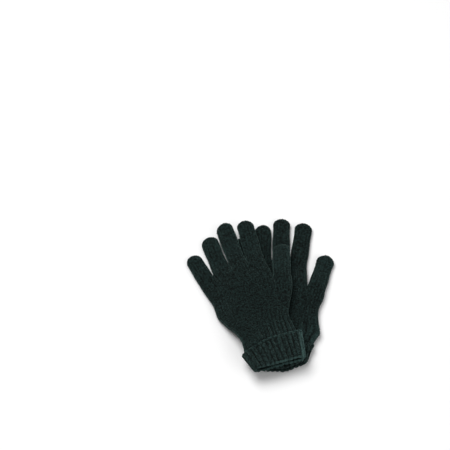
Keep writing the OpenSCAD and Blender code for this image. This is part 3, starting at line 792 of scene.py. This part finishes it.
def spun_thread(name, dark, light, pitch, rough):
    """Twisted thread: fine slanted plies, matt, with a soft gleam where they turn, partly painted, and
    painted shade between them.
    """
    made, tree, surface = finish_of(name)
    place = add(tree, "ShaderNodeTexCoord").outputs["Object"]
    ply = add(tree, "ShaderNodeTexWave", {"Vector": place, "Scale": per_mm(pitch) / PLY_COARSE,
                                          "Distortion": 3, "Detail": 2}, bands_direction="DIAGONAL")
    # The plies' dark and light bands: painted shade between them, painted gleam where they turn
    tone = add(tree, "ShaderNodeMix", {"Factor": ply.outputs["Fac"], 6: colour(dark), 7: colour(light)},
               data_type="RGBA")
    relief = add(tree, "ShaderNodeBump", {"Height": ply.outputs["Fac"], "Strength": 0.5,
                                          "Distance": 0.2 * MM})
    tree.links.new(tone.outputs[2], surface.inputs["Base Color"])
    tree.links.new(relief.outputs[0], surface.inputs["Normal"])
    surface.inputs["Roughness"].default_value = rough
    surface.inputs["Specular IOR Level"].default_value = 0.25
    surface.inputs["Sheen Weight"].default_value = 0.2
    surface.inputs["Sheen Tint"].default_value = PILE_GLEAM
    return made


# Colours: the pile's deepest painted shade, its crests, and its stroked patches
CHENILLE = chenille("Chenille knit, cut pile", "#010201", "#223432", "#121C1B", 1.5)
RIBBING = chenille("Chenille ribbing", "#010201", "#3C5552", "#1D2B2A", 0.9)
THREAD = spun_thread("Spun polyester thread", "#0B100F", "#1A2322", 0.9, 0.8)
ELASTIC = spun_thread("Covered elastic thread", "#0B0F0E", "#181F1E", 0.7, 0.65)


# The gloves

def palm_cloth(side):
    """The palm: skin and lining below the fork, skin above it, and caps at the fingers' seams."""
    low_rows, high_rows = LOW_COURSES * COURSE_ROWS, HIGH_COURSES * COURSE_ROWS
    sheets = []
    for face in FACES:
        sheets.append((4 * LOBE_COLS, low_rows, palm_low(side, face, "hand")))
        sheets.append((LOBE_COLS, low_rows, palm_low(side, face, "gusset")))
        sheets.append((4 * LOBE_COLS, LINING_ROWS, palm_low(side, face, "hand", lining=True)))
        sheets.append((LOBE_COLS, LINING_ROWS, palm_low(side, face, "gusset", lining=True)))
        sheets.append((4 * LOBE_COLS, high_rows, palm_high(side, face)))
    fingers = [palm_high(side, face) for face in FACES]
    thumb = [palm_low(side, face, "gusset") for face in FACES]
    sheets.append((4 * LOBE_COLS, 1, end_cap(*fingers, 1)))
    sheets.append((LOBE_COLS, 1, end_cap(*thumb, 1)))
    return knit(side, sheets, 1)


def finger_cloth(side, k):
    """A finger's two faces, and the caps at its seam and its tip."""
    (above, rows), (below, _) = (finger_sheet(side, k, face) for face in FACES)
    sheets = [(LOBE_COLS, rows, above), (LOBE_COLS, rows, below)]
    sheets += [(LOBE_COLS, 1, end_cap(above, below, end)) for end in (0, 1)]
    return knit(side, sheets, 2 + k)


def bend_places(side, k):
    """Where a finger would start and stop bending, level with its root; the fingers are not bent."""
    root, _, along, _, _, slant = finger_frame(k)
    ways = [root + along * (abs(slant) + run) for run in (0.5, BEND_RUN)]
    start, end = [lay(side, np.array(u), np.array(v), np.array(FINGER_T / 2)) for u, v in ways]
    return (start[0], start[1], start[2]), (end[0], end[1], start[2])


for side in ("left", "right"):
    hand, cuff = f"{side}_hand", f"{side}_cuff"
    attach(piece(f"{side}_palm_knit", palm_cloth(side), CHENILLE, f"{side}_palm"), hand)

    for k, finger in enumerate(FINGERS):
        body = f"{side}_thumb" if k == THUMB else f"{side}_{finger}_finger"
        tube = piece(f"{body}_knit", finger_cloth(side, k), CHENILLE, body)
        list(bend_places(side, k))
        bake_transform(tube)
        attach(piece(f"{side}_{finger}_tip_yarn", tip_stitches(side, k), THREAD,
                      f"{side}_{finger}_tip_stitch"), body)

    elastics = [elastic_sheet(line) for line in ELASTIC_V]
    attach(piece(f"{side}_wrist_ribbing", knit(side, [rib_sheet()], 8), RIBBING,
                  f"{side}_wrist_rib"), hand)
    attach(piece(f"{side}_cuff_ribbing", knit(side, [cuff_sheet(side)], 9), RIBBING,
                  f"{side}_turned_cuff"), cuff)
    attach(piece(f"{side}_cuff_bound_edge", knit(side, [edge_sheet(side)], 10), RIBBING,
                  f"{side}_cuff_edge"), cuff)
    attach(piece(f"{side}_wrist_elastic_threads", knit(side, elastics, 11), ELASTIC,
                  f"{side}_wrist_elastic"), hand)
    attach(piece(f"{side}_crotch_yarn", crotch_stitches(side), THREAD,
                  f"{side}_crotch_stitches"), hand)


# Table, light and camera

TABLE_REACH, TABLE_BELOW = 6, 0.1


def table_top():
    """A plain white table just below the gloves, which takes their soft shadow."""
    bm = bmesh.new()
    bmesh.ops.create_grid(bm, x_segments=1, y_segments=1, size=TABLE_REACH)
    bmesh.ops.translate(bm, verts=bm.verts, vec=(0, 0, -TABLE_BELOW * MM))
    mesh = bpy.data.meshes.new("table")
    bm.to_mesh(mesh)
    bm.free()
    made, _, surface = finish_of("Matt white laminate")
    surface.inputs["Base Color"].default_value = colour("#FDFDFD")
    surface.inputs["Roughness"].default_value = 0.9
    mesh.materials.append(made)
    top = bpy.data.objects.new("table", mesh)
    bpy.context.collection.objects.link(top)


def softbox(name, place, size, watts):
    """A square soft light that looks at the gloves."""
    lamp = bpy.data.lights.new(name, "AREA")
    lamp.size = size
    lamp.energy = watts
    made = bpy.data.objects.new(name, lamp)
    made.location = place
    made.rotation_euler = (-Vector(place)).to_track_quat("-Z", "Y").to_euler()
    bpy.context.collection.objects.link(made)


table_top()
softbox("key", (-0.65, 0.45, 1.95), 1.4, 35.5)
softbox("fill", (1.4, -1.0, 1.1), 1.4, 11)

world = bpy.data.worlds.new("studio")
bpy.context.scene.world = world
world.use_nodes = True
world.node_tree.nodes["Background"].inputs["Color"].default_value = (1, 1, 1, 1)
world.node_tree.nodes["Background"].inputs["Strength"].default_value = 0.3
bpy.context.scene.view_settings.view_transform = "Standard"

# The photograph's view: its height, slight turn, distance and width, with the gloves low and right in it
VIEW_HEIGHT, VIEW_TURN, VIEW_FAR, VIEW_WIDTH = radians(58), radians(3.5), 3.0, 0.6338
VIEW_AIM = Vector((-0.0883, 0.1256, 0))
SENSOR = 36
ahead = Vector((-sin(VIEW_TURN) * cos(VIEW_HEIGHT), cos(VIEW_TURN) * cos(VIEW_HEIGHT),
                -sin(VIEW_HEIGHT)))
lens = bpy.data.cameras.new("camera")
lens.sensor_width = SENSOR
lens.lens = SENSOR * VIEW_FAR / VIEW_WIDTH
camera = bpy.data.objects.new("camera", lens)
camera.location = VIEW_AIM - ahead * VIEW_FAR
camera.rotation_euler = ahead.to_track_quat("-Z", "Y").to_euler()
bpy.context.collection.objects.link(camera)
bpy.context.scene.camera = camera
